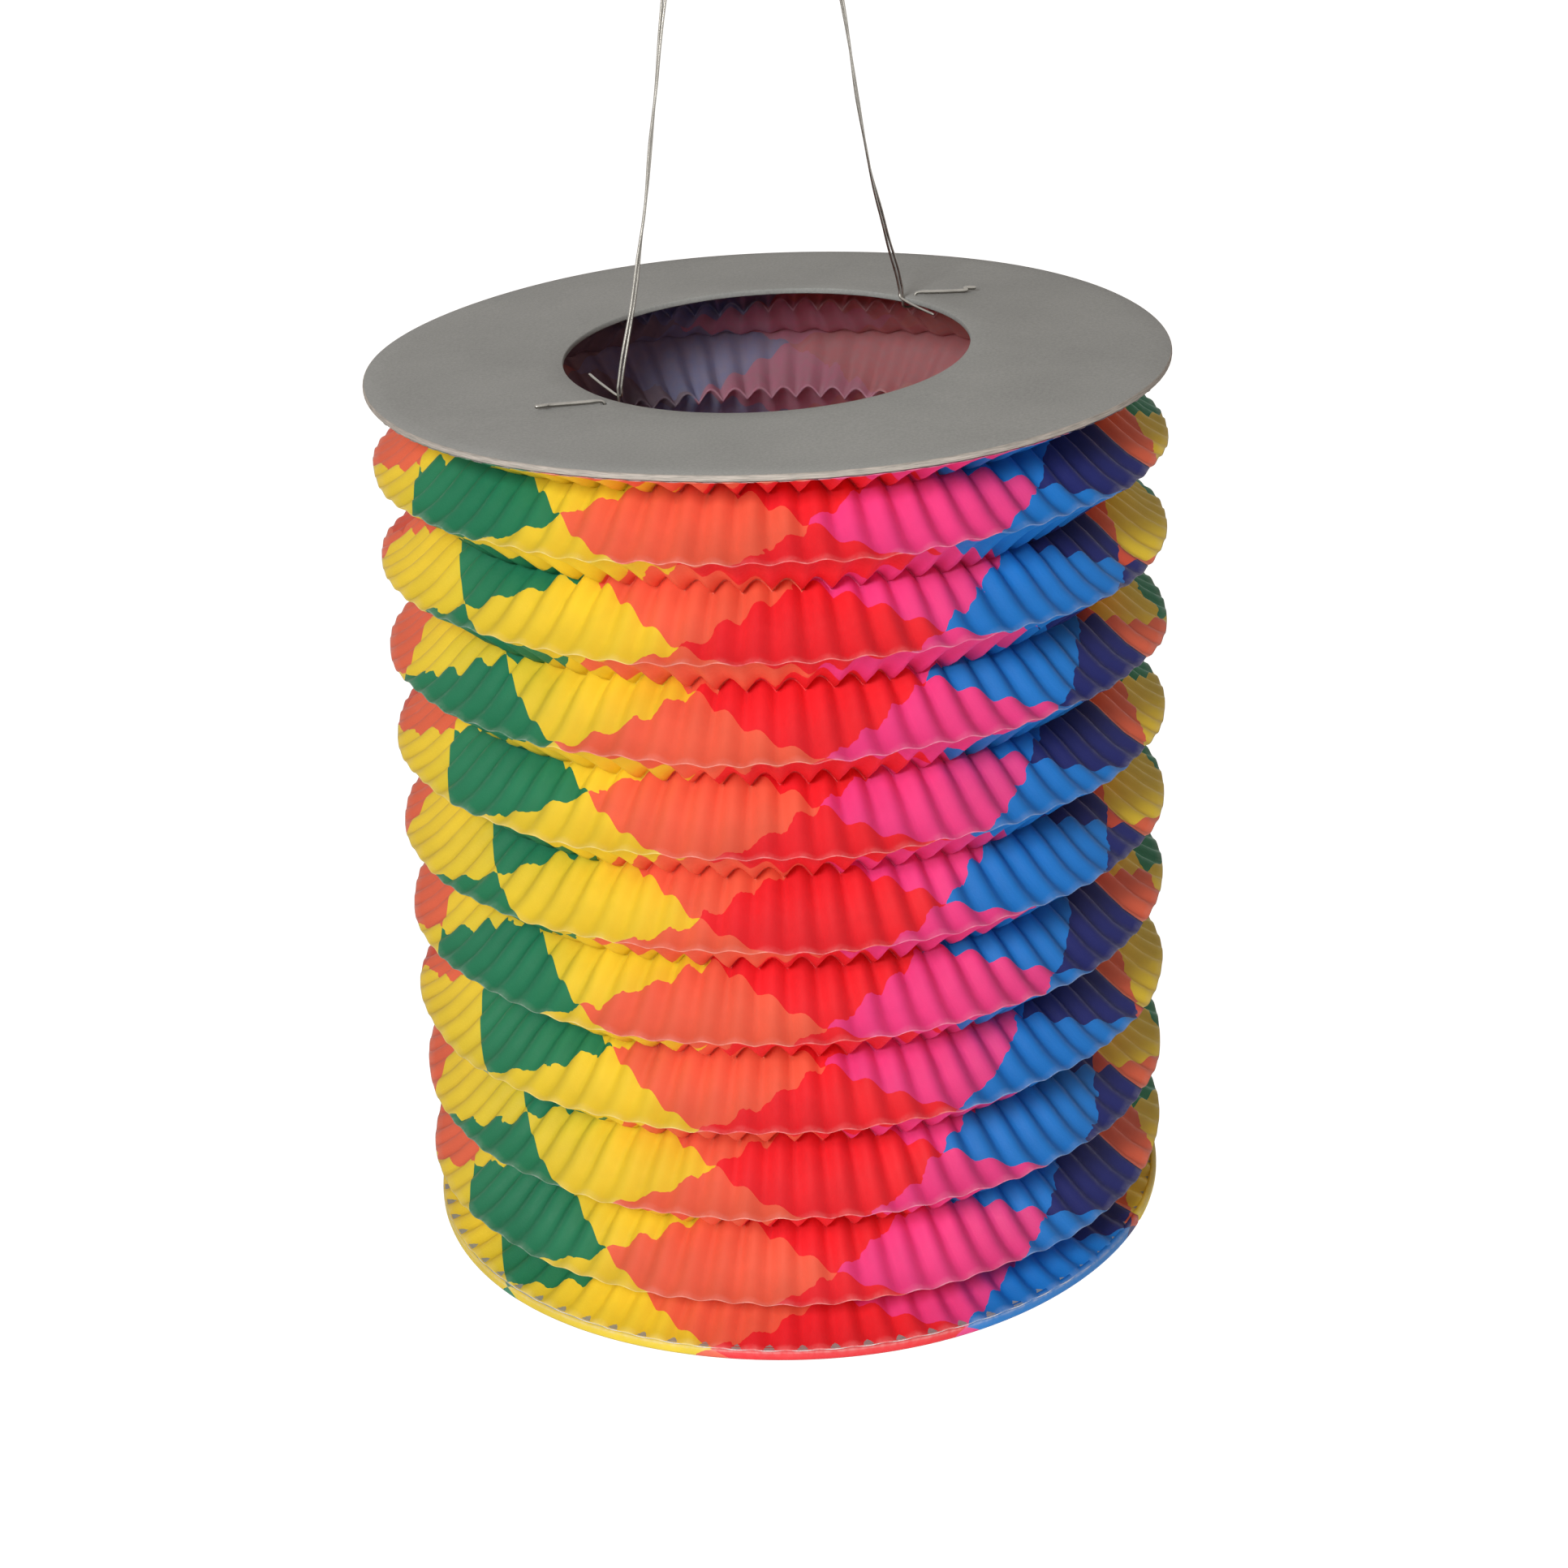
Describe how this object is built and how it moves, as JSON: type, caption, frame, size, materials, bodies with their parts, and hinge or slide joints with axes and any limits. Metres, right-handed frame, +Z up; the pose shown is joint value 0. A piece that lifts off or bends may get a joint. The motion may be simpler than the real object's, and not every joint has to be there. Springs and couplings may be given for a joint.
{
  "type": "accordion paper lantern",
  "caption": "Round accordion paper lantern that folds flat, with a grey board ring and base, a thin wire bail to hang it by and a tin candle holder inside.",
  "frame": {"origin": "the hanging point: the inside of the bail's top bend, on the lantern's vertical axis", "axes": "+Z up along the lantern's axis; X along the line through the bail's two feet, which is its hinge line"},
  "size_m": [0.16, 0.16, 0.3355],
  "materials": {
    "grey_board": "matte",
    "printed_paper": "satin",
    "steel_wire": "satin",
    "tinplate": "satin"
  },
  "bodies": {
    "bail": {"bail_wire_outer": "steel_wire", "bail_wire_inner": "steel_wire"},
    "ring": {"top_ring": "grey_board", "paper_bellows": "printed_paper", "wire_end_card_left": "steel_wire", "wire_end_card_right": "steel_wire", "wire_end_hole_left": "steel_wire", "wire_end_hole_right": "steel_wire"},
    "base": {"base_disc": "grey_board", "candle_holder": "tinplate"}
  },
  "joints": [
    {"name": "bail_swing", "type": "hinge", "parent": "bail", "child": "ring", "pos_m": [0, 0, -0.1484], "axis": [1, 0, 0], "range_deg": [-90, 90]},
    {"name": "bellows_fold", "type": "slide", "parent": "ring", "child": "base", "axis": [0, 0, 1], "range_m": [0, 0.16], "deforming": ["paper_bellows"]}
  ]
}
